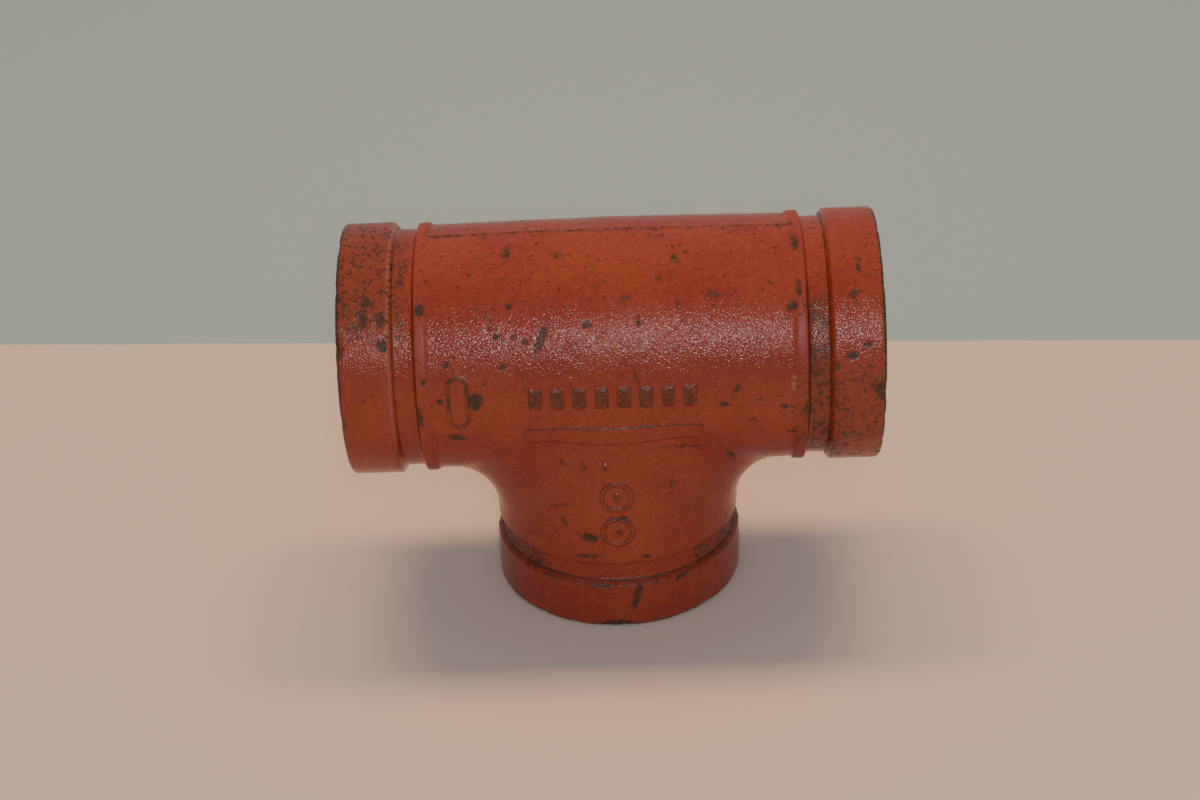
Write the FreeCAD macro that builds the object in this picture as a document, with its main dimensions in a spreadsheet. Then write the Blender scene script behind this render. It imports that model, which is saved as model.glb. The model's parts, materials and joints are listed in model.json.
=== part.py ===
"""A grooved-end pipe tee for nominal 2 1/2 inch pipe, cast in one piece.

The tee is one hollow iron casting with three equal grooved ends. The run lies along X and the branch
points down along -Z. The origin is the centre of the branch's end face, on which the tee stands.
Each end has a lip, which a coupling's gasket seals on, a groove, which the coupling's keys hold, and a
raised shoulder behind the groove. Lengths are in millimetres.
"""

import FreeCAD, Part
import math
import os
import re

import Sketcher

DIMENSIONS = [
    # alias, value, meaning
    ("centre_to_end", 76.2, "centre of the tee to each end face"),
    ("lip_radius", 36.5, "outside of the lip, which is the pipe's own size"),
    ("rim_chamfer", 0.8, "chamfer on the outer edge of each end face"),
    ("lip_width", 14.3, "end face to the lip's inner corner"),
    ("seat_length", 15.7, "end face to the start of the groove's floor"),
    ("floor_end", 21.0, "end face to the end of the groove's floor"),
    ("groove_radius", 34.35, "floor of the groove"),
    ("shoulder_start", 21.75, "end face to the shoulder"),
    ("shoulder_width", 2.3, "width of the shoulder's crest"),
    ("shoulder_slope", 2.0, "run-out from the shoulder to the body"),
    ("shoulder_radius", 36.1, "crest of the shoulder"),
    ("body_radius", 35.4, "body of the run beside the shoulders"),
    ("crown_rise", 0.6, "swell of the run's body at the middle"),
    ("branch_radius", 35.3, "body of the branch"),
    ("crotch_radius", 17.0, "outside fillet where the branch meets the run"),
    ("bore_radius", 30.2, "waterway at the two ends of the run"),
    ("branch_bore_radius", 29.8, "waterway at the end of the branch"),
    ("core_rise", 0.6, "how much wider each waterway is at the middle of the tee"),
    ("inner_crotch_radius", 20.0, "inside edge where the waterways meet"),
    ("mouth_chamfer", 1.0, "chamfer on the inner edge of each end face"),
    ("edge_round", 0.45, "rounding of the lip, groove and shoulder edges"),
    ("mark_height", 0.45, "how far the cast marks stand out of the body"),
    ("mark_root", 31.0, "distance from the centre plane to the marks' roots, inside the wall"),
    ("mark_reach", 8.0, "length of the marks before they are trimmed"),
    ("block_width", 3.6, "width of one block in the row of blocks"),
    ("block_height", 6.0, "height of the blocks"),
    ("block_pitch", 6.2, "distance between blocks"),
    ("block_row", 77.2, "height of the row of blocks"),
    ("bar_length", 50.0, "length of the plain bar under the blocks"),
    ("bar_height", 5.2, "height of the plain bar"),
    ("bar_row", 64.8, "height of the plain bar's centre"),
    ("stud_radius", 1.1, "small round marks"),
    ("stud_pitch", 6.0, "distance between the small round marks"),
    ("stud_row", 54.6, "height of the small round marks"),
    ("ring_outer", 4.8, "outside of the cast rings"),
    ("ring_inner", 3.7, "inside of the cast rings"),
    ("ring_dot", 1.4, "dot inside the cast rings"),
    ("upper_ring_row", 44.6, "height of the upper ring"),
    ("lower_ring_row", 32.8, "height of the lower ring"),
    ("oval_place", 43.2, "distance of the oval mark from the branch's axis"),
    ("oval_row", 76.6, "height of the oval mark's centre"),
    ("oval_rise", 5.0, "half the length of the oval mark's straight sides"),
    ("oval_outer", 3.1, "outside radius of the oval mark's ends"),
    ("oval_inner", 2.2, "inside radius of the oval mark's ends"),
]
BLOCKS = 8
STUDS = 3
NODE = "tee_casting"
SAME_PLACE = 0.02
CORNERS = ((-1, -1), (1, -1), (1, 1), (-1, 1))
BODY_START = "(shoulder_start + shoulder_width + shoulder_slope)"


def in_sheet(text):
    """Turns each word of a size into a reference to the sheet's cell of that name."""
    return re.sub(r"[a-z_]+", r"Dimensions.\g<0>", text)


def size_of(doc, text):
    return float(doc.getObject("Dimensions").evalExpression(in_sheet(text)))


def point(sketch, across, up):
    """The place in a sketch of a point that is given as two sizes."""
    return FreeCAD.Vector(size_of(sketch.Document, across), size_of(sketch.Document, up), 0)


def make_sheet(doc):
    sheet = doc.addObject("Spreadsheet::Sheet", "Dimensions")
    for row, (alias, value, meaning) in enumerate(DIMENSIONS, start=1):
        sheet.set(f"A{row}", alias)
        sheet.set(f"B{row}", str(value))
        sheet.setAlias(f"B{row}", alias)
        sheet.set(f"C{row}", meaning)
    doc.recompute()


def new_sketch(body, name, height="0", forward="0"):
    """A sketch on the body's XZ plane, its origin raised by height and brought forward, towards -Y."""
    sketch = body.newObject("Sketcher::SketchObject", name)
    plane = next(f for f in body.Origin.OriginFeatures if f.Role == "XZ_Plane")
    sketch.AttachmentSupport = [(plane, "")]
    sketch.MapMode = "FlatFace"
    sketch.setExpression("AttachmentOffset.Base.y", in_sheet(height))
    sketch.setExpression("AttachmentOffset.Base.z", in_sheet(forward))
    return sketch


def bind(sketch, constraint, text):
    """Adds a constraint whose value follows a size."""
    index = sketch.addConstraint(constraint)
    sketch.setExpression(f"Constraints[{index}]", in_sheet(text))


def fix_point(sketch, geometry, end, across, up):
    """Ties one point of a sketch to its distances from the sketch's origin."""
    place = point(sketch, across, up)
    bind(sketch, Sketcher.Constraint("DistanceX", -1, 1, geometry, end, place.x), across)
    bind(sketch, Sketcher.Constraint("DistanceY", -1, 1, geometry, end, place.y), up)


def fix_radius(sketch, geometry, text):
    bind(sketch, Sketcher.Constraint("Radius", geometry, size_of(sketch.Document, text)), text)


def add_outline(sketch, corners, arc=None):
    """A closed outline through corners, each a pair of sizes, joined by straight lines.

    An arc is the number of the corner that it starts from, its top point and its radius. It bulges
    upwards from left to right, while a sketch counts an arc from its right end to its left.
    """
    points = [point(sketch, *corner) for corner in corners]
    first = sketch.GeometryCount
    count = len(points)
    starts = [1] * count
    for i, start in enumerate(points):
        finish = points[(i + 1) % count]
        if arc and arc[0] == i:
            radius = size_of(sketch.Document, arc[2])
            centre = point(sketch, *arc[1]) - FreeCAD.Vector(0, radius, 0)
            angles = [math.atan2(p.y - centre.y, p.x - centre.x) for p in (finish, start)]
            circle = Part.Circle(centre, FreeCAD.Vector(0, 0, 1), radius)
            sketch.addGeometry(Part.ArcOfCircle(circle, *angles), False)
            starts[i] = 2
        else:
            sketch.addGeometry(Part.LineSegment(start, finish), False)
    for i, corner in enumerate(corners):
        after = (i + 1) % count
        sketch.addConstraint(
            Sketcher.Constraint("Coincident", first + i, 3 - starts[i], first + after, starts[after])
        )
        fix_point(sketch, first + i, starts[i], *corner)
    if arc:
        fix_radius(sketch, first + arc[0], arc[2])


def add_rectangle(sketch, across, up, width, height):
    add_outline(sketch, [
        (f"{across} + {x} * {width} / 2", f"{up} + {z} * {height} / 2") for x, z in CORNERS
    ])


def add_circle(sketch, across, up, radius):
    centre = point(sketch, across, up)
    circle = Part.Circle(centre, FreeCAD.Vector(0, 0, 1), size_of(sketch.Document, radius))
    index = sketch.addGeometry(circle, False)
    fix_point(sketch, index, 3, across, up)
    fix_radius(sketch, index, radius)


def add_oval(sketch, across, up, rise, radius):
    """An upright oval: two half circles, joined by straight sides of length twice rise."""
    first = sketch.GeometryCount
    for i, side in enumerate((1, -1)):
        middle = (across, f"{up} + {side} * {rise}")
        size = size_of(sketch.Document, radius)
        circle = Part.Circle(point(sketch, *middle), FreeCAD.Vector(0, 0, 1), size)
        sketch.addGeometry(Part.ArcOfCircle(circle, i * math.pi, (i + 1) * math.pi), False)
        fix_point(sketch, first + i, 3, *middle)
        fix_radius(sketch, first + i, radius)
    for side in (-1, 1):
        edge = f"{across} + {side} * {radius}"
        ends = [point(sketch, edge, f"{up} + {z * side} * {rise}") for z in (-1, 1)]
        sketch.addGeometry(Part.LineSegment(*ends), False)
    left, right = first + 2, first + 3
    for one, other in ((first, left), (left, first + 1), (first + 1, right), (right, first)):
        sketch.addConstraint(Sketcher.Constraint("Tangent", one, 2, other, 1))


def revolve(body, name, sketch, axis, kind="PartDesign::Revolution"):
    feature = body.newObject(kind, name)
    feature.Profile = sketch
    feature.ReferenceAxis = (sketch, [axis])
    feature.Angle = 360.0
    body.Document.recompute()


def fillet(body, name, edges, radius):
    if not edges:
        raise RuntimeError(f"{name} has no edges")
    base = body.Tip
    feature = body.newObject("PartDesign::Fillet", name)
    feature.Base = (base, edges)
    feature.setExpression("Radius", in_sheet(radius))
    body.Document.recompute()


def join(body, name, kind, tool):
    feature = body.newObject("PartDesign::Boolean", name)
    feature.Type = kind
    feature.setObjects([tool])
    body.Document.recompute()


def end_profile(side):
    """The outside of one grooved end, from the body out to the end face, as distances and radii."""
    steps = [
        (BODY_START, "body_radius"),
        ("(shoulder_start + shoulder_width)", "shoulder_radius"),
        ("shoulder_start", "shoulder_radius"),
        ("floor_end", "groove_radius"),
        ("seat_length", "groove_radius"),
        ("lip_width", "lip_radius"),
        ("rim_chamfer", "lip_radius"),
        ("0", "lip_radius - rim_chamfer"),
    ]
    return [(f"{side} * (centre_to_end - {inward})", radius) for inward, radius in steps]


def swell(number, half, base, rise="crown_rise"):
    """The gently swollen middle of the run, as an arc for an outline that rises above base."""
    return number, ("0", f"{base} + {rise}"), f"({half} ^ 2 + {rise} ^ 2) / (2 * {rise})"


def add_run(body):
    sketch = new_sketch(body, "RunSketch", height="centre_to_end")
    left, right = end_profile(-1), end_profile(1)
    corners = [("-1 * centre_to_end", "0"), *reversed(left), *right, ("centre_to_end", "0")]
    half = f"(centre_to_end - {BODY_START})"
    add_outline(sketch, corners, swell(len(left), half, "body_radius"))
    revolve(body, "Run", sketch, "H_Axis")


def add_branch(body):
    sketch = new_sketch(body, "BranchSketch", height="centre_to_end")
    profile = [(radius, along) for along, radius in end_profile(-1)]
    profile[0] = ("branch_radius", profile[0][1])
    add_outline(sketch, [("0", "0"), ("branch_radius", "0"), *profile, ("0", "-1 * centre_to_end")])
    revolve(body, "Branch", sketch, "V_Axis")


def meeting_edges(shape, least, most):
    """Names of the curved edges where a branch surface, whose radius lies between these, meets the run."""
    found = []
    for i, edge in enumerate(shape.Edges, start=1):
        if isinstance(edge.Curve, (Part.Circle, Part.Line)):
            continue
        radii = [math.hypot(p.x, p.y) for p in edge.discretize(9)]
        if least - SAME_PLACE < min(radii) and max(radii) < most + SAME_PLACE:
            found.append(f"Edge{i}")
    return found


def end_circles(shape, reach, rings):
    """Names of the circular edges at the three ends, for rings of distance from the end and radius."""
    found = []
    for i, edge in enumerate(shape.Edges, start=1):
        curve = edge.Curve
        if not isinstance(curve, Part.Circle):
            continue
        inward = min(reach - abs(curve.Center.x), max(curve.Center.z, 0.0))
        if any(math.hypot(inward - a, curve.Radius - r) < SAME_PLACE for a, r in rings):
            found.append(f"Edge{i}")
    return found


def round_ends(body):
    """Rounds the cast corners of the lips, grooves and shoulders."""
    reach = size_of(body.Document, "centre_to_end")
    groups = {
        "CornerRounds": [
            ("lip_width", "lip_radius"),
            ("shoulder_start", "shoulder_radius"),
            ("shoulder_start + shoulder_width", "shoulder_radius"),
        ],
        "GrooveRounds": [
            ("seat_length", "groove_radius"),
            ("floor_end", "groove_radius"),
        ],
    }
    for name, group in groups.items():
        rings = [tuple(size_of(body.Document, text) for text in ring) for ring in group]
        fillet(body, name, end_circles(body.Shape, reach, rings), "edge_round")


def add_waterways(body):
    half = f"(centre_to_end - {BODY_START})"
    run = new_sketch(body, "RunBoreSketch", height="centre_to_end")
    corners = [
        ("-1 * centre_to_end", "0"),
        ("-1 * centre_to_end", "bore_radius + mouth_chamfer"),
        ("mouth_chamfer - centre_to_end", "bore_radius"),
        (f"-1 * {half}", "bore_radius"),
        (half, "bore_radius"),
        ("centre_to_end - mouth_chamfer", "bore_radius"),
        ("centre_to_end", "bore_radius + mouth_chamfer"),
        ("centre_to_end", "0"),
    ]
    add_outline(run, corners, swell(3, half, "bore_radius", "core_rise"))
    branch = new_sketch(body, "BranchBoreSketch")
    add_outline(branch, [
        ("0", "0"),
        ("branch_bore_radius + mouth_chamfer", "0"),
        ("branch_bore_radius", "mouth_chamfer"),
        ("branch_bore_radius", BODY_START),
        ("branch_bore_radius + core_rise", "centre_to_end"),
        ("0", "centre_to_end"),
    ])
    for name, sketch, axis in (("RunBore", run, "H_Axis"), ("BranchBore", branch, "V_Axis")):
        before = body.Tip.Shape.Volume
        revolve(body, name, sketch, axis, "PartDesign::Groove")
        if body.Tip.Shape.Volume >= before:
            raise RuntimeError(f"{name} cut nothing")


def make_mark_envelope(doc):
    """The outside of the body, grown by the height of the marks: it trims them to stand evenly proud."""
    body = doc.addObject("PartDesign::Body", "MarkEnvelope")
    half = "(centre_to_end - floor_end)"
    side = "body_radius + mark_height"
    run = new_sketch(body, "EnvelopeRunSketch", height="centre_to_end")
    corners = [(f"-1 * {half}", "0"), (f"-1 * {half}", side), (half, side), (half, "0")]
    add_outline(run, corners, swell(1, half, side))
    revolve(body, "EnvelopeRun", run, "H_Axis")
    branch = new_sketch(body, "EnvelopeBranchSketch")
    add_outline(branch, [
        ("0", "floor_end"),
        ("branch_radius + mark_height", "floor_end"),
        ("branch_radius + mark_height", "centre_to_end"),
        ("0", "centre_to_end"),
    ])
    revolve(body, "EnvelopeBranch", branch, "V_Axis")
    return body


def make_marks(doc):
    """Plain raised marks for the front: blocks, a bar, small round marks, two rings and an oval."""
    body = doc.addObject("PartDesign::Body", "CastMarks")
    sketch = new_sketch(body, "MarkSketch", forward="mark_root")
    for i in range(BLOCKS):
        across = f"{i - (BLOCKS - 1) / 2} * block_pitch"
        add_rectangle(sketch, across, "block_row", "block_width", "block_height")
    add_rectangle(sketch, "0", "bar_row", "bar_length", "bar_height")
    for i in range(STUDS):
        add_circle(sketch, f"{i + 0.5 - STUDS} * stud_pitch", "stud_row", "stud_radius")
    for row in ("upper_ring_row", "lower_ring_row"):
        for radius in ("ring_outer", "ring_inner", "ring_dot"):
            add_circle(sketch, "0", row, radius)
    for radius in ("oval_outer", "oval_inner"):
        add_oval(sketch, "-1 * oval_place", "oval_row", "oval_rise", radius)
    pad = body.newObject("PartDesign::Pad", "MarkPad")
    pad.Profile = sketch
    pad.setExpression("Length", in_sheet("mark_reach"))
    join(body, "MarkTrim", "Common", make_mark_envelope(doc))
    return body


def make_casting(doc):
    body = doc.addObject("PartDesign::Body", "TeeCasting")
    body.Label = NODE
    body.Placement = FreeCAD.Placement()
    outside = size_of(doc, "branch_radius")
    inside = size_of(doc, "branch_bore_radius")
    add_run(body)
    add_branch(body)
    fillet(body, "CrotchFillet", meeting_edges(body.Shape, outside, outside), "crotch_radius")
    round_ends(body)
    add_waterways(body)
    meeting = meeting_edges(body.Shape, inside, inside + size_of(doc, "core_rise"))
    fillet(body, "InnerCrotchFillet", meeting, "inner_crotch_radius")
    join(body, "MarkFuse", "Fuse", make_marks(doc))
    return body


def check(doc, body):
    """Stops the build if any object failed, or if the casting isn't one sound solid."""
    for thing in doc.Objects:
        if "Invalid" in thing.State or "Error" in thing.State:
            raise RuntimeError(f"{thing.Name}: {thing.getStatusString()}")
    shape = body.Shape
    if shape.isNull() or not shape.isValid() or len(shape.Solids) != 1:
        raise RuntimeError(f"{body.Label} isn't one valid solid")
    print(f"{body.Label}: {shape.Volume:.0f} mm3, {len(shape.Faces)} faces")


def main():
    doc = FreeCAD.newDocument("GroovedTee")
    make_sheet(doc)
    body = make_casting(doc)
    doc.recompute()
    check(doc, body)
    os.makedirs("parts", exist_ok=True)
    body.Shape.exportStep(f"parts/{body.Label}.step")


main()
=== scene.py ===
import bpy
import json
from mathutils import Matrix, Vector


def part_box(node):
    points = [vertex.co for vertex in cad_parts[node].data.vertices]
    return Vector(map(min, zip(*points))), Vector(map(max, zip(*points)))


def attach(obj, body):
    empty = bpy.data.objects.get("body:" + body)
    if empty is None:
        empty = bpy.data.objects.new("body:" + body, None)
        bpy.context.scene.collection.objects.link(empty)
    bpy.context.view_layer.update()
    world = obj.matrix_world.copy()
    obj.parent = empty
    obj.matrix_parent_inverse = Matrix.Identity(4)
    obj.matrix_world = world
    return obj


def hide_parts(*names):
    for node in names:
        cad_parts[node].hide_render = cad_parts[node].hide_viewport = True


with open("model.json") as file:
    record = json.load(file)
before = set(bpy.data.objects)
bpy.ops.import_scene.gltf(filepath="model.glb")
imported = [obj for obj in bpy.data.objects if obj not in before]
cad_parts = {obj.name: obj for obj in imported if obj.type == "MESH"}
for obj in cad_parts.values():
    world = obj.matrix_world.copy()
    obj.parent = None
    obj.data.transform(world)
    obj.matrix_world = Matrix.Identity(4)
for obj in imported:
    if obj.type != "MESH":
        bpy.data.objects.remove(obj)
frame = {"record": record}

"""The looks of a grooved pipe tee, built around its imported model.

One closed mesh stands for the casting. It has three arms, the two halves of the run and the branch, that
share their seams. Each arm is a ring of columns that start at the outer seam, follow the body, shoulder,
groove and lip, turn round the end face and come back along the bore to the inner seam.
Lengths are in millimetres until the mesh is made, measured from the point where the three arms meet.
"""

import json
import math

import bmesh
import bpy
import numpy as np
from mathutils import Matrix, Vector, noise

MM = 0.001
NODE = "tee_casting"
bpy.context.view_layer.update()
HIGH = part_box(NODE)[1]
MOUNTS = {mount["name"]: mount for mount in frame["record"]["mounts"]}

# Sizes from the frame
REACH = HIGH.x / MM
LIP = MOUNTS["run_right_gasket_seat"]["dims"]["r_mm"]
AXIS = HIGH.z / MM - LIP
GROOVE = MOUNTS["run_right_groove"]["pos_m"]
FLOOR = GROOVE[2] / MM - AXIS
GROOVE_MIDDLE = REACH - GROOVE[0] / MM
BORE = MOUNTS["run_right_bore"]["dims"]["r_mm"]
BRANCH_BORE = MOUNTS["branch_bore"]["dims"]["r_mm"]

# Sizes along an end, from the end face, and radii
BODY = LIP - 1.1
CROWN = 0.6
CORE_RISE = 0.6
SHOULDER = LIP - 0.4
BRANCH_BODY = BODY + 0.5
BRANCH_SHOULDER = BRANCH_BODY + 0.1
FLOOR_HALF = 2.65
SHOULDER_NEAR = GROOVE_MIDDLE + FLOOR_HALF + 0.75
SHOULDER_FAR = SHOULDER_NEAR + 2.3
BODY_END = SHOULDER_FAR + 2.0
LIP_IN = GROOVE_MIDDLE - FLOOR_HALF - 1.4
RIM = 0.8
MOUTH = 1.0
CROTCH = 17.0
INNER_CROTCH = 20.0
MIDDLE = REACH - BODY_END

# The mesh: rows along each arm, and degrees between columns in front, behind and at the parting line
BODY_ROWS = 56
BORE_ROWS = 12
FRONT_STEP = 1.5
BACK_STEP = 3.0
PARTING_STEP = 0.8

# Range in which a surface is looked for from an arm's axis, and how often the range is halved
NEAREST = 15.0
FARTHEST = 80.0
HALVINGS = 45


def smooth(low, high, x):
    """0 below low, 1 above high, and a smooth step between."""
    u = np.clip((np.asarray(x, float) - low) / (high - low), 0.0, 1.0)
    return u * u * (3.0 - 2.0 * u)


def hump(x, half_width):
    """1 at 0, falling off on both sides within about half_width."""
    return np.exp(-((x / half_width) ** 2))


# ---------------------------------------------------------------- shape of the casting


def rounded_path(corners):
    """Points along straight lines through corners, each (along, radius, rounding, spacing)."""
    anchors = [np.array(corner[:2], float) for corner in corners]
    points = [anchors[0]]
    for i in range(1, len(corners)):
        here, rounding, spacing = anchors[i], corners[i][2], corners[i][3]
        arc = [here]
        if rounding:
            back = anchors[i - 1] - here
            ahead = anchors[i + 1] - here
            back /= np.linalg.norm(back)
            ahead /= np.linalg.norm(ahead)
            half = math.acos(back @ ahead) / 2
            inwards = (back + ahead) / np.linalg.norm(back + ahead)
            top = here + inwards * rounding * (1 / math.sin(half) - 1)
            cut = rounding / math.tan(half)
            arc = [here + back * cut, top, here + ahead * cut]
        last = points[-1]
        pieces = max(1, round(np.linalg.norm(arc[0] - last) / spacing))
        points += [last + (arc[0] - last) * k / pieces for k in range(1, pieces)]
        points += arc
    return np.array(points)


def end_path(body, shoulder, bore):
    """The section of one end, from the body round to the bore, as (distance from the centre, radius)."""
    rise = [(BODY_END + (SHOULDER_FAR - BODY_END) * t, body + (shoulder - body) * smooth(0, 1, t))
            for t in np.linspace(0, 1, 6)[:-1]]
    path = rounded_path([
        (SHOULDER_FAR, shoulder, 0, 1),
        (SHOULDER_NEAR, shoulder, 0.5, 0.7),
        (GROOVE_MIDDLE + FLOOR_HALF, FLOOR, 0.45, 0.5),
        (GROOVE_MIDDLE - FLOOR_HALF, FLOOR, 0.6, 0.9),
        (LIP_IN, LIP, 0.5, 0.6),
        (RIM, LIP, 0.5, 0.8),
        (0, LIP - RIM, 0.3, 0.6),
        (0, bore + MOUTH, 0.4, 1.1),
        (MOUTH, bore, 0.5, 0.7),
        (BODY_END, bore, 0, 3.0),
    ])
    path = np.vstack([rise, path])
    path[:, 0] = REACH - path[:, 0]
    return path


def swell(base, rise, along):
    """Radius of a swollen body, base at its end and fuller by rise at the centre."""
    return base + rise * np.clip(1 - (along / MIDDLE) ** 2, -1, 1)


def outer_run(along):
    return swell(BODY, CROWN, along)


def outer_branch(along):
    return swell(BRANCH_BODY, BODY + CROWN - BRANCH_BODY, along)


def inner_run(along):
    return swell(BORE, CORE_RISE, along)


def inner_branch(along):
    return swell(BRANCH_BORE, CORE_RISE + BORE - BRANCH_BORE, along)


# Each surface: the run's radius, the branch's radius and the fillet between them
OUTSIDE = (outer_run, outer_branch, CROTCH)
INSIDE = (inner_run, inner_branch, INNER_CROTCH)


def distance(p, surface):
    """Distance of points from the union of run and branch, with a ball of the fillet's radius between."""
    run_radius, branch_radius, fillet = surface
    x, y, z = p.T
    from_run = np.hypot(y, z)
    from_branch = np.hypot(x, y)
    run = from_run - run_radius(x)
    branch = from_branch - branch_radius(z)
    cosine = y * y / np.maximum(from_run * from_branch, 1e-9)
    sine2 = np.maximum(1 - cosine ** 2, 1e-4)
    u, v = fillet - run, fillet - branch
    rolled = (u > v * cosine) & (v > u * cosine) & (sine2 > 1e-4)
    ball = fillet - np.sqrt(np.maximum(u * u + v * v - 2 * u * v * cosine, 0) / sine2)
    return np.where(z < 0, np.where(rolled, ball, np.minimum(run, branch)), run)


def reach_surface(origins, directions, surface):
    """How far the surface is from each origin, along the origin's direction, by halving the range."""
    near = np.full(len(directions), NEAREST)
    far = np.full(len(directions), FARTHEST)
    for _ in range(HALVINGS):
        middle = (near + far) / 2
        inside = distance(origins + directions * middle[:, None], surface) < 0
        near = np.where(inside, middle, near)
        far = np.where(inside, far, middle)
    return (near + far) / 2


def half_ring():
    """Angles of the columns over half a ring, from front to back."""
    angles = [0.0]
    while angles[-1] < 180:
        here = angles[-1]
        spacing = FRONT_STEP + (BACK_STEP - FRONT_STEP) * smooth(40, 70, here)
        at_parting = math.exp(-(((here - 90) / 4) ** 2))
        angles.append(here + spacing * (1 - at_parting) + PARTING_STEP * at_parting)
    return np.radians(np.array(angles) * 180 / angles[-1])


HALF = half_ring()
RING = np.concatenate([HALF, -HALF[-2:0:-1]])
FRONT = np.array([0.0, -1.0, 0.0])
# Each arm: its direction, the direction of its columns at 90 degrees, and the seams of its two halves
ARMS = {
    "left": (np.array([-1.0, 0, 0]), np.array([0, 0, -1.0]), ("left", "top")),
    "right": (np.array([1.0, 0, 0]), np.array([0, 0, -1.0]), ("right", "top")),
    "branch": (np.array([0, 0, -1.0]), np.array([-1.0, 0, 0]), ("left", "right")),
}
SEAMS = {"top": (0, 1), "left": (-1, -1), "right": (1, -1)}


def seam_points(surface):
    """The half rings on which the arms meet, from front to back."""
    seams = {}
    for name, (x, z) in SEAMS.items():
        directions = np.stack([x * np.sin(HALF), -np.cos(HALF), z * np.sin(HALF)], axis=1)
        lengths = reach_surface(np.zeros_like(directions), directions, surface)
        seams[name] = directions * lengths[:, None]
    for name in ("left", "right"):
        seams[name][[0, -1]] = seams["top"][[0, -1]]
    return seams


class Casting:
    """Vertices and faces of the casting, with a few facts about each vertex."""

    def __init__(self):
        self.points = []
        self.inward = []
        self.inside = []
        self.faces = []

    def add(self, points, inward, inside):
        first = len(self.points)
        self.points += list(points)
        self.inward += list(np.broadcast_to(inward, len(points)))
        self.inside += [inside] * len(points)
        return np.arange(first, first + len(points))

    def add_seams(self, surface, inside):
        """The three seams, which share the foremost and the hindmost vertex."""
        seams = seam_points(surface)
        ids = {}
        for name, points in seams.items():
            inward = REACH - np.abs(points).max(axis=1) if name != "top" else REACH
            if name == "top":
                ids[name] = self.add(points, inward, inside)
            else:
                middle = self.add(points[1:-1], inward[1:-1], inside)
                ids[name] = np.concatenate([ids["top"][:1], middle, ids["top"][-1:]])
        return ids

    def join(self, one, other):
        """Faces between two rings of vertices."""
        for k in range(len(one)):
            after = (k + 1) % len(one)
            self.faces.append((one[k], one[after], other[after], other[k]))


def arm_columns(arm):
    """The directions in which an arm's columns stand off its axis."""
    return np.cos(RING)[:, None] * FRONT + np.sin(RING)[:, None] * ARMS[arm][1]


def body_rows(arm, seam, surface, count):
    """Rows from the seam to the end of the body, leaving out the seam itself."""
    along = ARMS[arm][0]
    columns = arm_columns(arm)
    start = seam @ along
    rows = []
    for k in range(1, count + 1):
        s = start + (MIDDLE - start) * k / count
        origins = s[:, None] * along
        lengths = reach_surface(origins, columns, surface)
        rows.append((origins + columns * lengths[:, None], REACH - s))
    return rows


def make_arm(casting, arm, outer_ids, inner_ids):
    """One arm, from its outer seams over the end to its inner seams."""
    along, _, (first, second) = ARMS[arm]
    columns = arm_columns(arm)
    rings = []
    for ids in (outer_ids, inner_ids):
        rings.append(np.concatenate([ids[first], ids[second][-2:0:-1]]))
    points = np.array(casting.points)
    last = rings[0]
    for row, inward in body_rows(arm, points[rings[0]], OUTSIDE, BODY_ROWS):
        here = casting.add(row, inward, 0)
        casting.join(last, here)
        last = here
    sizes = (BRANCH_BODY, BRANCH_SHOULDER, BRANCH_BORE) if arm == "branch" else (BODY, SHOULDER, BORE)
    path = end_path(*sizes)
    turn = int(np.argmax(path[:, 0]))
    for k, (s, radius) in enumerate(path[1:], start=1):
        origins = np.tile(s * along, (len(columns), 1))
        lengths = np.full(len(columns), radius)
        if k < turn and s < REACH - SHOULDER_NEAR:
            lengths = np.maximum(lengths, reach_surface(origins, columns, OUTSIDE))
        on_bore = 1 if k > turn and radius < BORE + MOUTH else 0
        here = casting.add(origins + columns * lengths[:, None], REACH - s, on_bore)
        casting.join(last, here)
        last = here
    inner = body_rows(arm, points[rings[1]], INSIDE, BORE_ROWS)
    for row, inward in reversed(inner[:-1]):
        here = casting.add(row, inward, 1)
        casting.join(last, here)
        last = here
    casting.join(last, rings[1])


def make_casting():
    casting = Casting()
    outer_ids = casting.add_seams(OUTSIDE, 0)
    inner_ids = casting.add_seams(INSIDE, 1)
    for arm in ARMS:
        make_arm(casting, arm, outer_ids, inner_ids)
    return casting


# ---------------------------------------------------------------- relief of the casting

MARK_HEIGHT = 0.45
CHIP_DEPTH = 0.14
NICK_DEPTH = 0.5
RIDGE_HEIGHT = 0.22
RIDGE_HALF = 0.7
# Swells of the cast surface: distance between them, height and seed
SWELLS = [(16, 0.09, 1), (5, 0.05, 2), (2, 0.03, 3)]

# Raised marks, all on the front: rows are heights above the floor
BLOCK_ROW = 77.2
BLOCK_SIZE = (3.6, 6.0)
BLOCK_CORNER = 0.6
BLOCK_PITCH = 6.2
BLOCKS = 8
PANEL_ROW = 64.8
PANEL_SIZE = (50.0, 5.2)
PANEL_CORNER = 1.2
STUD_ROW = 54.6
STUD_RADIUS = 1.1
STUD_PITCH = 6.0
STUDS = 3
RING_ROWS = (44.6, 32.8)
RING_RADIUS = 4.25
RING_HALF_LINE = 0.55
RING_DOT = 1.4
OVAL_PLACE = (-43.2, 76.6)
OVAL_HALF_STRAIGHT = 5.0
OVAL_RADIUS = 2.65
OVAL_HALF_LINE = 0.45

# Stands for a depth well outside every mark and chip
FAR_OUTSIDE = -3.0

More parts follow.
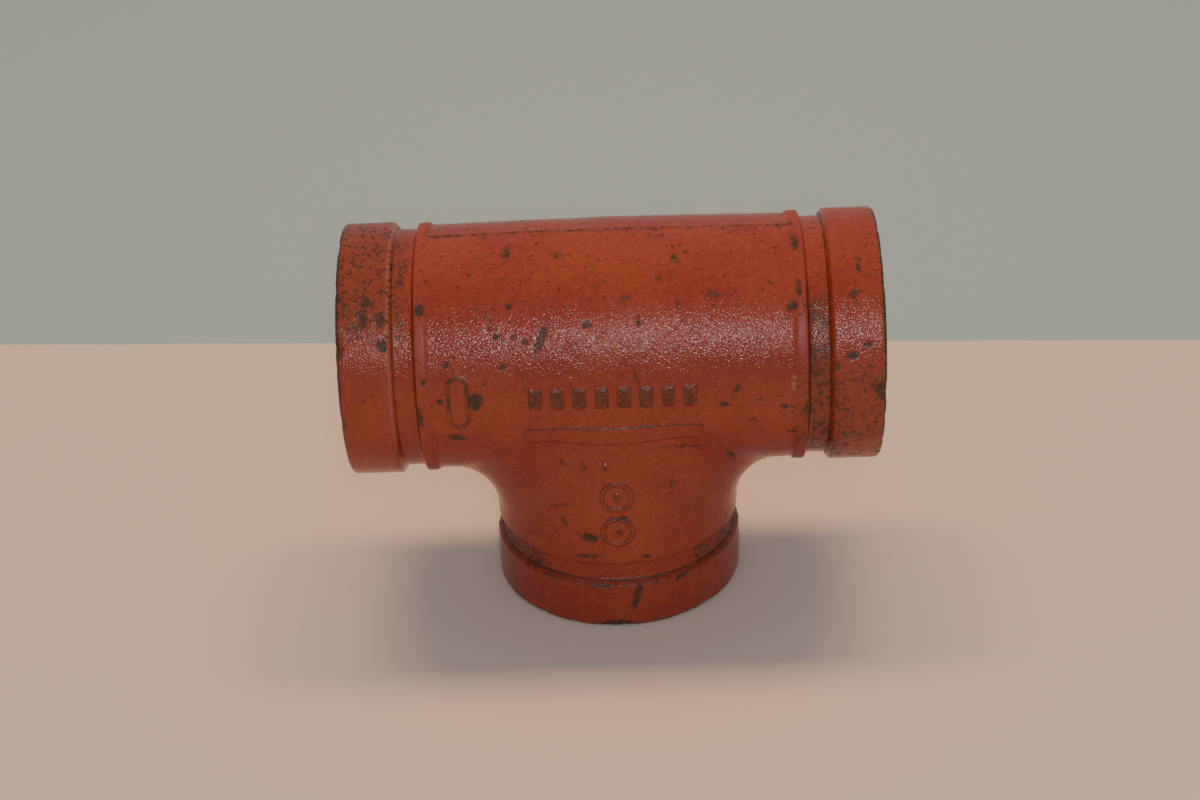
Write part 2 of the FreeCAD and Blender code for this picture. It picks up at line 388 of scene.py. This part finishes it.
# Chips in the paint: place across and up, half width, half height and lean, all seen from the front
BODY_CHIPS = [
    (-38.4, 77.2, 2.1, 2.7, -8),
    (-44.5, 64.6, 2.2, 1.0, -10),
    (-48.1, 77.5, 0.9, 0.9, 0),
    (-45.9, 88.0, 0.9, 0.8, 30),
    (-52.3, 83.8, 0.7, 0.9, 0),
    (-54.0, 72.7, 0.8, 2.9, 5),
    (-52.8, 101.3, 1.2, 1.2, 0),
    (-31.7, 94.8, 0.9, 0.7, 0),
    (-33.6, 96.6, 0.5, 0.5, 0),
    (-35.6, 82.5, 0.5, 0.5, 0),
    (-30.3, 87.1, 0.9, 0.8, 20),
    (-27.1, 94.8, 0.6, 0.5, 0),
    (-23.7, 93.5, 0.9, 0.7, -30),
    (-19.4, 93.9, 0.9, 3.8, -22),
    (-28.0, 101.5, 0.8, 0.6, 0),
    (-6.4, 97.1, 1.2, 0.8, 0),
    (6.5, 83.5, 0.35, 1.6, 20),
    (7.9, 97.4, 0.4, 1.2, 0),
    (4.3, 102.4, 1.0, 0.6, 10),
    (13.9, 106.2, 0.8, 0.6, 0),
    (18.6, 109.1, 1.0, 0.4, 0),
    (-28.7, 110.4, 1.0, 0.6, 0),
    (-14.6, 110.0, 1.0, 0.3, 0),
    (29.3, 102.6, 1.5, 0.5, -15),
    (50.3, 99.4, 1.5, 1.0, 15),
    (52.3, 103.2, 0.7, 1.4, 0),
    (52.2, 110.8, 1.0, 0.8, 0),
    (34.6, 78.6, 0.7, 2.0, -25),
    (30.8, 73.9, 1.3, 0.7, -20),
    (40.8, 75.1, 1.2, 0.6, 0),
    (47.9, 72.4, 1.2, 0.9, -30),
    (38.9, 68.2, 0.8, 0.5, 0),
    (53.9, 71.0, 0.7, 2.6, 0),
    (50.1, 62.7, 1.1, 0.7, 0),
    (33.2, 51.7, 0.8, 2.3, 20),
    (20.2, 58.6, 3.8, 0.25, -8),
    (-8.2, 30.4, 2.4, 1.4, -10),
    (-8.7, 23.9, 3.2, 0.6, 3),
    (8.1, 23.4, 1.3, 0.5, -10),
    (0.8, 37.4, 2.4, 0.45, 0),
    (16.0, 46.4, 0.35, 1.7, -10),
    (-17.6, 39.4, 1.8, 0.25, 25),
    (-15.4, 34.6, 0.4, 1.4, 20),
]
END_CHIPS = [
    (-67.5, 103.4, 1.2, 0.9, 0),
    (-68.7, 99.8, 1.0, 1.3, 0),
    (-63.4, 99.7, 0.9, 1.5, 0),
    (-63.3, 93.8, 1.5, 1.3, 0),
    (-75.4, 92.8, 0.9, 1.5, 0),
    (-75.8, 72.3, 0.9, 1.9, 0),
    (69.2, 107.1, 0.5, 1.1, 20),
    (67.9, 102.1, 1.4, 0.8, 15),
    (71.1, 90.3, 1.2, 0.6, 0),
    (66.5, 87.6, 1.6, 1.0, 0),
    (62.3, 84.8, 0.7, 0.9, 0),
    (75.2, 77.3, 2.3, 2.6, 0),
    (5.0, 10.2, 1.1, 4.2, -14),
    (-1.4, 0.2, 5.5, 2.0, 0),
    (-23.6, 0.2, 2.2, 0.7, 0),
    (18.2, 0.3, 1.8, 0.7, 0),
    (18.4, 14.0, 1.8, 0.8, 25),
    (-5.5, 14.1, 3.2, 0.5, 0),
]
BACK_CHIPS = [
    (-46.2, 92.4, 1.3, 1.6, 15),
    (-33.1, 70.8, 0.9, 0.7, 0),
    (-26.4, 98.2, 0.8, 2.2, -30),
    (-12.7, 84.5, 1.4, 0.9, 20),
    (3.8, 94.1, 0.6, 0.6, 0),
    (9.6, 61.3, 1.1, 1.9, 10),
    (21.9, 88.7, 2.0, 1.5, -15),
    (31.4, 66.0, 0.7, 0.9, 0),
    (44.7, 81.9, 1.2, 1.0, 30),
    (-53.2, 64.4, 0.8, 2.4, 0),
    (53.8, 96.3, 0.9, 1.5, 0),
    (-6.8, 36.2, 1.5, 0.8, -20),
    (14.9, 41.7, 0.4, 1.8, 15),
    (4.1, 26.8, 2.6, 0.5, 4),
    (-70.3, 95.6, 1.3, 1.0, 0),
    (-67.2, 71.2, 1.7, 0.8, 10),
    (66.4, 60.5, 1.0, 1.4, 0),
    (74.9, 84.0, 1.6, 2.1, 0),
    (-11.6, 9.4, 0.8, 2.9, 12),
    (13.5, 0.2, 4.2, 1.6, 0),
    (-27.1, 0.3, 2.4, 0.8, 0),
]


# A streak of light rust on the front: place across and up, half width and half height
RUST_STREAK = (50.6, 79.4, 0.8, 3.4)


def rounded_box(x, z, width, height, corner):
    """Distance outside a rectangle with rounded corners about the origin."""
    dx = np.abs(x) - width / 2 + corner
    dz = np.abs(z) - height / 2 + corner
    return np.hypot(np.maximum(dx, 0), np.maximum(dz, 0)) + np.minimum(np.maximum(dx, dz), 0) - corner


def dot_distance(x, z):
    """Distance outside the small round marks: the studs, and the middle of each ring."""
    studs = [(i + 0.5 - STUDS) * STUD_PITCH for i in range(STUDS)]
    shapes = [np.hypot(x - across, z - STUD_ROW) - STUD_RADIUS for across in studs]
    shapes += [np.hypot(x, z - row) - RING_DOT for row in RING_ROWS]
    return np.min(shapes, axis=0)


def outlined_distance(x, z):
    """Distance outside the other raised marks: the blocks, the panel, the rings and the oval."""
    blocks = [(i - (BLOCKS - 1) / 2) * BLOCK_PITCH for i in range(BLOCKS)]
    shapes = [rounded_box(x - across, z - BLOCK_ROW, *BLOCK_SIZE, BLOCK_CORNER) for across in blocks]
    shapes.append(rounded_box(x, z - PANEL_ROW, *PANEL_SIZE, PANEL_CORNER))
    shapes += [np.abs(np.hypot(x, z - row) - RING_RADIUS) - RING_HALF_LINE for row in RING_ROWS]
    across, up = OVAL_PLACE
    from_middle = np.hypot(x - across, np.maximum(np.abs(z - up) - OVAL_HALF_STRAIGHT, 0))
    shapes.append(np.abs(from_middle - OVAL_RADIUS) - OVAL_HALF_LINE)
    return np.min(shapes, axis=0)


def depth_in_chips(x, z, chips):
    """How deep inside one of the chips a point is, seen from the front, and below 0 outside them all."""
    field = np.full(len(x), FAR_OUTSIDE)
    for across, up, half_width, half_height, lean in chips:
        turn = math.radians(lean)
        u = (x - across) * math.cos(turn) + (z - up) * math.sin(turn)
        v = (z - up) * math.cos(turn) - (x - across) * math.sin(turn)
        length = np.hypot(u / half_width, v / half_height)
        field = np.maximum(field, (1 - length) * min(half_width, half_height))
    return field


def chip_field(x, y, z):
    """How deep inside a chip a point is, with the chips of its own side."""
    front = depth_in_chips(x, z, BODY_CHIPS + END_CHIPS)
    return np.where(y < 0, front, depth_in_chips(x, z, BACK_CHIPS))


def wave(points, size, seed):
    """Smooth noise between about -1 and 1, whose swells are size apart."""
    shift = Vector((seed * 17.3, seed * 5.1, seed * 9.7))
    return np.array([noise.noise(Vector(p) / size + shift) for p in points])


class Surface:
    """What the relief and the paint need to know of each vertex of the plain casting."""

    def __init__(self, points, inward, inside):
        self.points = points
        self.x, self.y, self.z = points.T
        self.up = self.z + AXIS
        self.inward = inward
        self.inside = inside
        self.outside = 1 - inside
        self.front = (self.y < 0) * self.outside
        on_body = smooth(SHOULDER_NEAR, SHOULDER_FAR, inward)
        on_front = self.front * on_body > 0.5
        self.outlined = np.where(on_front, outlined_distance(self.x, self.up), -FAR_OUTSIDE)
        self.dots = np.where(on_front, dot_distance(self.x, self.up), -FAR_OUTSIDE)
        self.chips = np.where(self.outside > 0, chip_field(self.x, self.y, self.up), FAR_OUTSIDE)
        self.left = self.x < -MIDDLE
        self.right = self.x > MIDDLE
        self.on_branch = ~(self.left | self.right)
        self.end_radius = np.where(self.on_branch, np.hypot(self.x, self.y), np.hypot(self.y, self.z))


def refine(work):
    """Divide the faces at the marks' edges and at the chips, so that both are crisp."""
    inside_layer = work.verts.layers.float["inside"]
    x, y, z = np.array([vert.co for vert in work.verts]).T
    up = z + AXIS
    outside = np.array([vert[inside_layer] for vert in work.verts]) < 0.5
    from_edge = np.minimum(np.abs(outlined_distance(x, up)), np.abs(dot_distance(x, up)))
    near_mark = (from_edge < 1.0) & (np.hypot(x, z) < MIDDLE) & (y < 0)
    fine = outside & (near_mark | (chip_field(x, y, up) > -0.5))
    edges = [edge for edge in work.edges if fine[edge.verts[0].index] and fine[edge.verts[1].index]]
    bmesh.ops.subdivide_edges(work, edges=edges, cuts=2, use_grid_fill=True)
    bmesh.ops.triangulate(work, faces=[face for face in work.faces if len(face.verts) > 4])


def relief(surface):
    """How far each vertex moves out of the plain shape."""
    points, y, inward = surface.points, surface.y, surface.inward
    body = smooth(GROOVE_MIDDLE, BODY_END, inward) * surface.outside
    swells = sum(rise * wave(points, size, seed) for size, rise, seed in SWELLS)
    height = swells * (0.35 + 0.65 * np.maximum(body, surface.inside)) * smooth(0, 6, inward)
    off_centre = (np.abs(surface.x) + np.abs(surface.z)) > 20
    ridge = hump(y, RIDGE_HALF) * surface.outside * smooth(0.5, 3, inward) * off_centre
    height += RIDGE_HEIGHT * ridge * np.clip(0.8 + 0.9 * wave(points, 6, 4), 0, 2)
    height += MARK_HEIGHT * smooth(0.3, -0.3, np.minimum(surface.outlined, surface.dots))
    height -= CHIP_DEPTH * smooth(-0.3, 0.3, surface.chips)
    rim = hump(inward, 1.2) * smooth(LIP - 2, LIP - 0.5, surface.end_radius) * surface.outside
    height -= rim * NICK_DEPTH * smooth(0.15, 0.6, wave(points, 3.5, 5))
    return height


def crease_dirt_and_shade_lines(surface):
    """Dark lines in the corners of the grooves, broken on the branch: dirt, and painted shade in those
    corners.
    """
    aside = np.abs(surface.x)
    shoulder_line = hump(surface.inward - GROOVE_MIDDLE - FLOOR_HALF - 0.4, 0.35)
    broken = np.maximum(smooth(13, 10, aside), 0.9 * smooth(15, 22, aside))
    shoulder_line *= np.where(surface.on_branch, broken, 0.85 * smooth(110, 102, surface.up))
    lip_line = hump(surface.inward - LIP_IN - 1.1, np.where(surface.on_branch, 0.42, 0.3))
    lip_line *= np.where(surface.left, 0.5, np.where(surface.on_branch, 0.8, 0.9))
    return np.maximum(shoulder_line, lip_line) * surface.outside


def speck_density(surface):
    """How thick the brown specks lie."""
    inward, up = surface.inward, surface.up
    aside = np.abs(surface.x)
    upper_left = surface.left * smooth(GROOVE_MIDDLE + 4, GROOVE_MIDDLE - 1, inward) * smooth(88, 98, up)
    lower_right = smooth(45, 55, surface.x) * smooth(90, 80, up) * (0.6 + 0.4 * surface.right)
    upper_run = 0.42 * smooth(90, 100, up)
    parting = hump(surface.y + 0.4, RIDGE_HALF) * (up > 100) * (inward > SHOULDER_FAR)
    parting *= 0.75 + 0.25 * smooth(14, 8, surface.x)
    branch_lip = 0.8 * hump(inward - LIP_IN, 0.8) * (up < 30)
    groove = smooth(LIP_IN, LIP_IN + 1, inward) * smooth(SHOULDER_NEAR + 0.5, SHOULDER_NEAR - 0.5, inward)
    right_groove = surface.right * smooth(105, 98, up)
    grimy = groove * np.where(surface.on_branch, smooth(12, 26, aside), right_groove)
    places = [0.9 * upper_left, 0.8 * lower_right, upper_run, 1.5 * parting, branch_lip, grimy]
    return np.maximum(np.maximum.reduce(places), 0.15) * surface.outside


def paint_masks(surface):
    """Where the paint is worn, specked, dirty or smooth, where painted shade darkens it and where a painted
    highlight lightens it, from 0 to 1, and two distances.
    """
    inward, up, outside = surface.inward, surface.up, surface.outside
    rim = hump(inward - 0.3, 0.8) * smooth(LIP - 3.5, LIP - 1.2, surface.end_radius)
    # Painted highlight: the left lip's groove-side wall, pale where light from the right catches it
    lip_wall = hump(inward - LIP_IN - 0.3, 0.55) * surface.left * smooth(52, 66, up)
    across, height, half_width, half_height = RUST_STREAK
    streak = hump(surface.x - across, half_width) * hump(up - height, half_height)
    shoulder = smooth(SHOULDER_NEAR - 0.6, SHOULDER_NEAR, inward)
    shoulder *= smooth(BODY_END - 0.2, BODY_END - 1.4, inward)
    marks = smooth(0.1, -0.3, surface.outlined) * np.where(up > (BLOCK_ROW + PANEL_ROW) / 2, 0.96, 0.42)
    return {
        "worn": rim * outside,
        "face": smooth(0.6, 0.1, inward) * outside,
        # dirt and painted shade in the grooves' corners
        "crease": crease_dirt_and_shade_lines(surface),
        "dust": lip_wall * outside,
        "rust": streak * surface.front,
        "specks": speck_density(surface),
        "calm": shoulder * ~surface.on_branch * outside,
        "bore": surface.inside,
        "chips": surface.chips,
        "outline": np.clip(surface.outlined, FAR_OUTSIDE, -FAR_OUTSIDE),
        "tops": np.maximum(marks, 0.85 * smooth(0.3, -0.4, surface.dots)),
    }


def to_mesh(casting):
    """The casting as a Blender object: refined, moved by its relief, and carrying the paint's masks."""
    mesh = bpy.data.meshes.new("tee")
    mesh.from_pydata([tuple(point) for point in casting.points], [], casting.faces)
    for name, values in (("inward", casting.inward), ("inside", casting.inside)):
        mesh.attributes.new(name, "FLOAT", "POINT").data.foreach_set("value", np.array(values, np.float32))
    work = bmesh.new()
    work.from_mesh(mesh)
    bmesh.ops.recalc_face_normals(work, faces=work.faces)
    refine(work)
    work.to_mesh(mesh)
    work.free()

    points, normals, inward, inside = (
        np.zeros(len(mesh.vertices) * width, np.float32) for width in (3, 3, 1, 1)
    )
    mesh.vertices.foreach_get("co", points)
    mesh.vertex_normals.foreach_get("vector", normals)
    mesh.attributes["inward"].data.foreach_get("value", inward)
    mesh.attributes["inside"].data.foreach_get("value", inside)
    surface = Surface(points.reshape(-1, 3).astype(float), inward.astype(float), np.round(inside))
    moved = surface.points + normals.reshape(-1, 3) * relief(surface)[:, None]
    mesh.vertices.foreach_set("co", ((moved + [0, 0, AXIS]) * MM).ravel())
    for name, values in paint_masks(surface).items():
        attribute = mesh.attributes.new(name, "FLOAT", "POINT")
        attribute.data.foreach_set("value", np.asarray(values, np.float32))
    mesh.shade_smooth()
    mesh.update()
    tee = bpy.data.objects.new("tee", mesh)
    bpy.context.collection.objects.link(tee)
    return tee


# ---------------------------------------------------------------- enamel

PAINT_RED = (0.275, 0.035, 0.0145)
PAINT_ORANGE = (0.305, 0.045, 0.0160)
PAINT_HIGH = (0.36, 0.066, 0.022)
PAINT_PIT = (0.16, 0.018, 0.009)
PAINT_OLD = (0.15, 0.045, 0.016)
# Painted highlight on the left lip's groove wall
LIP_WALL_HIGHLIGHT = (0.42, 0.17, 0.125)
RUST = (0.33, 0.17, 0.045)
# Brown of the stains, also the painted shade in the creases and round the marks
STAIN_AND_SHADE = (0.066, 0.023, 0.008)
IRON_BROWN = (0.075, 0.028, 0.009)
IRON_DARK = (0.034, 0.022, 0.012)
# Lighter iron for painted glints on the grain
IRON_PAINTED_GLINT = (0.105, 0.055, 0.024)
BORE_PRIMER = (0.12, 0.026, 0.014)
BORE_IRON = (0.05, 0.028, 0.018)

# Height of the paint's grain, which is too fine for the mesh
GRAIN_HEIGHT = 0.19


class Enamel:
    """Builds the casting's material: enamel over rough iron, with chips, specks, dirt, painted shade in the
    creases and round the marks, and painted highlights.
    """

    def __init__(self):
        self.material = bpy.data.materials.new("enamel")
        self.material.use_nodes = True
        self.tree = self.material.node_tree
        self.shader = self.tree.nodes["Principled BSDF"]
        self.place = self.add("ShaderNodeTexCoord").outputs["Object"]
        self.grain = self.noise(0.58, 1.0)
        self.pebble = self.noise(2.0, 1.0)
        self.ragged = self.noise(1.3, 3.0, 0.6)
        self.patch = self.noise(6.0, 3.0, 0.6)
        self.broad = self.noise(22.0, 2.0)

    def add(self, kind, inputs=None, **settings):
        """A node with its settings, whose inputs are either values or other nodes' outputs."""
        node = self.tree.nodes.new(kind)
        for name, value in settings.items():
            setattr(node, name, value)
        for name, value in (inputs or {}).items():
            if isinstance(value, bpy.types.NodeSocket):
                self.tree.links.new(value, node.inputs[name])
            else:
                node.inputs[name].default_value = value
        return node

    def noise(self, size, detail, roughness=0.5):
        """Noise between 0 and 1, most of it near a half, whose features are size millimetres apart."""
        inputs = {"Vector": self.place, "Scale": 1 / (size * MM), "Detail": detail, "Roughness": roughness}
        return self.add("ShaderNodeTexNoise", inputs).outputs["Fac"]

    def mask(self, name):
        """One of the mesh's own masks, from paint_masks."""
        return self.add("ShaderNodeAttribute", attribute_name=name).outputs["Fac"]

    def maths(self, operation, one, other=0.0):
        return self.add("ShaderNodeMath", {0: one, 1: other}, operation=operation).outputs[0]

    def total(self, *terms):
        """The sum of several values, each given as (value, factor)."""
        result = 0.0
        for value, factor in terms:
            node = self.add("ShaderNodeMath", {0: value, 1: factor, 2: result}, operation="MULTIPLY_ADD")
            result = node.outputs[0]
        return result

    def most(self, *values):
        result = values[0]
        for value in values[1:]:
            result = self.maths("MAXIMUM", result, value)
        return result

    def step(self, value, low, high, to_low=0.0, to_high=1.0):
        """to_low below low, to_high above high, and a smooth step between."""
        inputs = {"Value": value, "From Min": low, "From Max": high, "To Min": to_low, "To Max": to_high}
        return self.add("ShaderNodeMapRange", inputs, interpolation_type="SMOOTHSTEP").outputs["Result"]

    def mix(self, factor, one, other):
        """A colour between two, each given as a colour or as another node's output."""
        node = self.add("ShaderNodeMix", data_type="RGBA")
        for socket, value in zip((node.inputs[0], node.inputs[6], node.inputs[7]), (factor, one, other)):
            if isinstance(value, bpy.types.NodeSocket):
                self.tree.links.new(value, socket)
            else:
                socket.default_value = (*value, 1)
        return node.outputs[2]


def bare_places(enamel, chipped):
    """Where the iron is bare: in the chips and along worn rims."""
    chips = enamel.step(chipped, 1.6, 1.95)
    worn = enamel.total((enamel.mask("worn"), 1.0), (enamel.ragged, 0.9), (enamel.patch, 0.5))
    return enamel.most(chips, enamel.step(worn, 1.36, 1.5))


def stains_and_painted_shade(enamel, chipped):
    """Where the paint is brown or dark: stains on the marks' tops, specks and round the chips, and dirt
    with painted shade along the marks' outlines and in the creases.
    """
    tops = enamel.total((enamel.mask("tops"), 0.5), (enamel.ragged, 1.0))
    tops = enamel.step(tops, 0.82, 0.95, 0.0, 0.75)
    density = enamel.total((enamel.mask("specks"), 0.17), (enamel.patch, 0.28))
    specks = enamel.total((density, 1.0), (enamel.noise(1.5, 3.0, 0.7), 1.0))
    specks = enamel.step(specks, 0.83, 0.88, 0.0, 0.85)
    # Dark outlines round the marks: dirt, and painted shade along their edges
    edge = enamel.total((enamel.mask("outline"), 1.0), (enamel.ragged, 0.5), (-0.2, 1.0))
    edge = enamel.step(enamel.maths("ABSOLUTE", edge), 0.5, 0.1)
    outline = enamel.total((edge, 1.0), (enamel.patch, 1.4), (enamel.ragged, 0.8))
    outline = enamel.step(outline, 1.65, 2.2, 0.0, 0.75)
    # Dirt and painted shade along the grooves' corners
    crease = enamel.total((enamel.mask("crease"), 1.0), (enamel.patch, 1.1), (enamel.ragged, 0.3))
    crease = enamel.step(crease, 0.95, 1.5, 0.0, 0.75)
    halo = enamel.step(chipped, 1.1, 1.6, 0.0, 0.45)
    return enamel.most(tops, specks, outline, crease, halo)


def paint_colour(enamel):
    """The enamel itself, with dark pits, old paint round the specks, a painted highlight on the left lip's
    groove wall and one streak of rust.
    """
    paint = enamel.mix(enamel.step(enamel.broad, 0.38, 0.62), PAINT_RED, PAINT_ORANGE)
    paint = enamel.mix(enamel.step(enamel.pebble, 0.45, 0.70, 0.0, 0.4), paint, PAINT_HIGH)
    paint = enamel.mix(enamel.step(enamel.grain, 0.30, 0.52, 0.45, 0.0), paint, PAINT_PIT)
    old = enamel.total((enamel.mask("specks"), 0.9), (enamel.patch, 0.8), (-0.75, 1.0))
    paint = enamel.mix(enamel.step(old, 0.0, 0.6, 0.0, 0.5), paint, PAINT_OLD)
    # Painted highlight along the left lip's groove wall
    highlit_lip_wall = enamel.total((enamel.mask("dust"), 1.0), (enamel.ragged, 0.4))
    paint = enamel.mix(enamel.step(highlit_lip_wall, 0.5, 1.0, 0.0, 0.55), paint, LIP_WALL_HIGHLIGHT)
    rusty = enamel.total((enamel.mask("rust"), 0.6), (enamel.ragged, 1.0))
    return enamel.mix(enamel.step(rusty, 0.75, 1.0, 0.0, 0.8), paint, RUST)


def iron_colour(enamel):
    iron = enamel.mix(enamel.step(enamel.ragged, 0.42, 0.62), IRON_BROWN, IRON_DARK)
    # Painted glints: lighter iron on the grain's high points
    return enamel.mix(enamel.step(enamel.grain, 0.45, 0.70, 0.0, 0.5), iron, IRON_PAINTED_GLINT)


def make_enamel():
    enamel = Enamel()
    chipped = enamel.total((enamel.mask("chips"), 1.0), (enamel.ragged, 2.4), (enamel.grain, 0.8))
    bare = bare_places(enamel, chipped)
    stain_and_shade = stains_and_painted_shade(enamel, chipped)
    iron = iron_colour(enamel)
    inner = enamel.mix(enamel.step(enamel.patch, 0.40, 0.60), BORE_PRIMER, BORE_IRON)
    bore = enamel.mask("bore")
    # Stains, and painted shade in the creases and round the marks
    colour = enamel.mix(stain_and_shade, paint_colour(enamel), STAIN_AND_SHADE)
    colour = enamel.mix(bore, colour, inner)
    colour = enamel.mix(enamel.step(enamel.mask("face"), 0.0, 1.0, 0.0, 0.6), colour, iron)
    colour = enamel.mix(bare, colour, iron)
    enamel.tree.links.new(colour, enamel.shader.inputs["Base Color"])

    calm = enamel.mask("calm")
    shine = enamel.step(enamel.broad, 0.3, 0.7, 0.16, 0.22)
    dull = enamel.most(bare, stain_and_shade, calm)
    roughness = enamel.total((shine, 1.0), (dull, 0.25), (bore, 0.2))
    enamel.tree.links.new(roughness, enamel.shader.inputs["Roughness"])

    texture = enamel.total((enamel.grain, 1.0), (enamel.pebble, 0.4), (enamel.noise(0.35, 1.0), 0.15))
    texture = enamel.maths("MULTIPLY", texture, enamel.step(calm, 0.0, 1.0, 1.0, 0.3))
    height = enamel.total((texture, 1.0), (bare, -0.5))
    inputs = {"Height": height, "Strength": 1.0, "Distance": GRAIN_HEIGHT * MM}
    bump = enamel.add("ShaderNodeBump", inputs)
    enamel.tree.links.new(bump.outputs["Normal"], enamel.shader.inputs["Normal"])
    return enamel.material


# ---------------------------------------------------------------- stage, lights and camera

# The pale floor meets a grey one behind the object, along a line that runs slightly askew, in metres
STAGE_HALF = 3
STAGE_TOP = -0.0001
EDGE_BEHIND = 0.14
EDGE_SLOPE = 0.061
FLOOR_COLOUR = (0.72, 0.55, 0.475)
BACKDROP_COLOUR = (0.345, 0.42, 0.475)

CEILING_LIGHT = (1.0, 0.66, 0.28)
ROOM_LIGHT = (1.0, 0.72, 0.4)
DAYLIGHT = (0.86, 0.94, 1.0)
FRONT_LIGHT = (0.92, 0.93, 0.95)
DAYLIGHT_STRENGTH = 0.31

# The camera's place about the object: distance, height angle, turn and roll
CAMERA_DISTANCE = 0.67649
CAMERA_HEIGHT = 29.79
CAMERA_TURN = 0.99
CAMERA_ROLL = -2.37
CAMERA_TARGET = Vector((-0.00419, 0, 0.05618))
LENS = 68.49


def aim(thing, target):
    thing.rotation_euler = (Vector(target) - thing.location).to_track_quat("-Z", "Y").to_euler()


def area_light(name, place, target, size, power, colour, glossy=True):
    light = bpy.data.lights.new(name, "AREA")
    light.shape = "RECTANGLE"
    light.size, light.size_y = size
    light.energy = power
    light.color = colour
    thing = bpy.data.objects.new(name, light)
    thing.location = place
    thing.visible_glossy = glossy
    bpy.context.collection.objects.link(thing)
    aim(thing, target)


def plain(name, colour, rough):
    material = bpy.data.materials.new(name)
    material.use_nodes = True
    shader = material.node_tree.nodes["Principled BSDF"]
    shader.inputs["Base Color"].default_value = (*colour, 1)
    shader.inputs["Roughness"].default_value = rough
    return material


def stage_sheet(name, corners, material):
    mesh = bpy.data.meshes.new(name)
    mesh.from_pydata(corners, [], [(0, 1, 2, 3)])
    mesh.materials.append(material)
    sheet = bpy.data.objects.new(name, mesh)
    bpy.context.collection.objects.link(sheet)


def make_stage():
    """Two flat sheets just below the object, one on each side of the edge behind it."""
    half, low = STAGE_HALF, STAGE_TOP
    left = EDGE_BEHIND + EDGE_SLOPE * half
    right = EDGE_BEHIND - EDGE_SLOPE * half
    floor = plain("floor", FLOOR_COLOUR, 0.8)
    cloth = plain("backdrop", BACKDROP_COLOUR, 0.9)
    near = [(-half, -half, low), (half, -half, low), (half, right, low), (-half, left, low)]
    far = [(-half, left, low), (half, right, low), (half, half, low), (-half, half, low)]
    stage_sheet("floor", near, floor)
    stage_sheet("backdrop", far, cloth)


def make_lights():
    """Warm light from overhead, pale light from both sides, and a small lamp for the bright band."""
    centre = (0, 0, 0)
    area_light("ceiling", (0, 0.45, 1.5), centre, (1.4, 0.3), 19.8, CEILING_LIGHT, glossy=False)
    for side in (-1, 1):
        area_light("fill", (0, 1.1 * side, 1.1), centre, (1.6, 1.6), 2.4, DAYLIGHT, glossy=False)
    area_light("room", (0, 0.3, 1.5), centre, (1.8, 1.8), 0.6, ROOM_LIGHT)
    area_light("front", (0.04, -0.69, 0.475), (0, 0, 0.08), (0.05, 0.13), 1.45, FRONT_LIGHT)
    world = bpy.data.worlds.new("world")
    world.use_nodes = True
    background = world.node_tree.nodes["Background"]
    background.inputs["Color"].default_value = (*DAYLIGHT, 1)
    background.inputs["Strength"].default_value = DAYLIGHT_STRENGTH
    bpy.context.scene.world = world


def make_camera():
    height, turn, roll = (math.radians(angle) for angle in (CAMERA_HEIGHT, CAMERA_TURN, CAMERA_ROLL))
    back = Vector((math.sin(turn) * math.cos(height), -math.cos(turn) * math.cos(height), math.sin(height)))
    right = (-back).cross(Vector((0, 0, 1))).normalized()
    up = right.cross(-back)
    right, up = right * math.cos(roll) + up * math.sin(roll), up * math.cos(roll) - right * math.sin(roll)
    turned = Matrix((right, up, back)).transposed().to_4x4()
    lens = bpy.data.cameras.new("camera")
    lens.lens = LENS
    lens.sensor_width = 36
    camera = bpy.data.objects.new("camera", lens)
    camera.matrix_world = Matrix.Translation(CAMERA_TARGET + back * CAMERA_DISTANCE) @ turned
    bpy.context.collection.objects.link(camera)
    bpy.context.scene.camera = camera


tee = to_mesh(make_casting())
tee.data.materials.append(make_enamel())
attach(tee, "root")
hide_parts(NODE)
make_stage()
make_lights()
make_camera()
